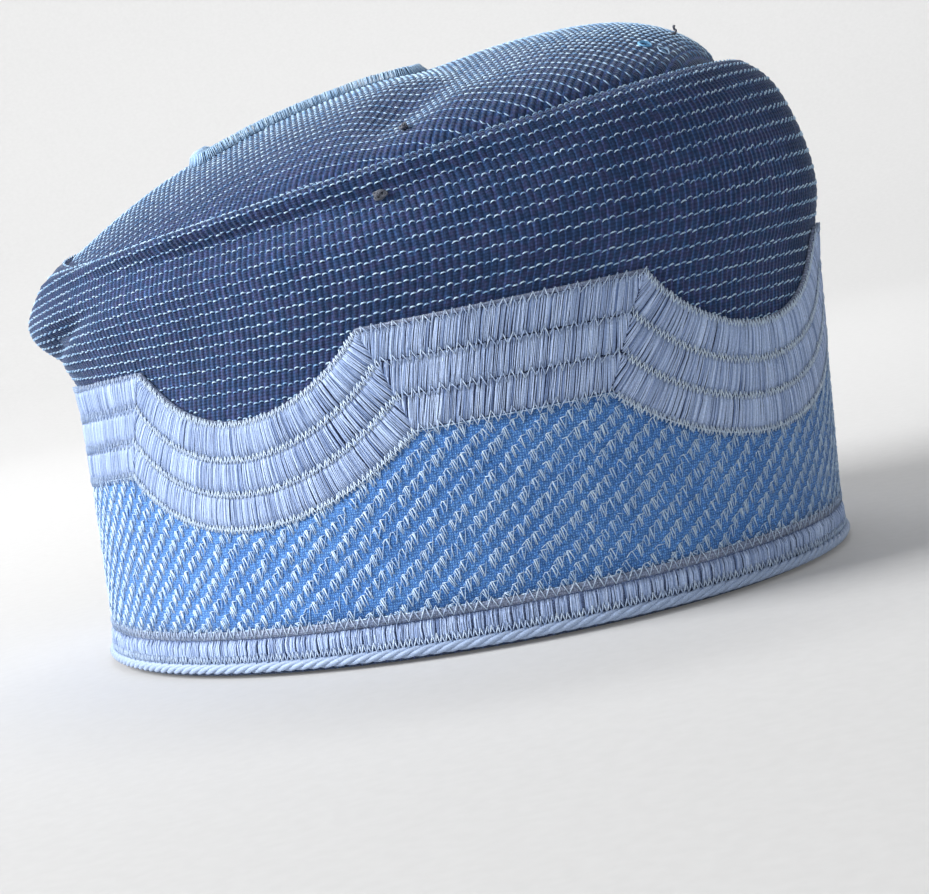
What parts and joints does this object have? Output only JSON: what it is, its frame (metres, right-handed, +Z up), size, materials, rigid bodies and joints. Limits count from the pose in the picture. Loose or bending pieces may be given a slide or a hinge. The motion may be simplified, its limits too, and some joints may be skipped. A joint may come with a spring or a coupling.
{
  "type": "embroidered cap",
  "caption": "Soft brimless domed cap of navy ribbed cloth with thin pale lines, a wide embroidered band of scalloped satin stripes over a stitched blue field, and a corded hem.",
  "frame": {"origin": "under the middle of the cap's box, on the surface that the hem stands on", "axes": "+Z up through the crown, -Y towards the wearer's front, +X towards the wearer's left"},
  "size_m": [0.1772, 0.2096, 0.1333],
  "materials": {
    "crown_wall": "ribbed strip-woven cotton, navy with pale blue dashed lines",
    "crown_top": "the same ribbed cloth as the wall",
    "band_field": "plain woven blue cloth with rows of pale zigzag stitches",
    "stripe_lower": "satin stitch in lavender blue thread",
    "stripe_middle": "satin stitch in lavender blue thread",
    "stripe_upper": "satin stitch in lavender blue thread",
    "hem_strip": "bundled satin stitch in lavender blue thread",
    "hem_cord": "twisted pale blue cord",
    "top_motif": "satin stitch in pale blue thread"
  },
  "bodies": {
    "root": {"crown_wall": "crown_wall", "crown_top": "crown_top", "band_field": "band_field", "stripe_lower": "stripe_lower", "stripe_middle": "stripe_middle", "stripe_upper": "stripe_upper", "hem_strip": "hem_strip", "hem_cord": "hem_cord", "top_motif": "top_motif"}
  },
  "joints": []
}
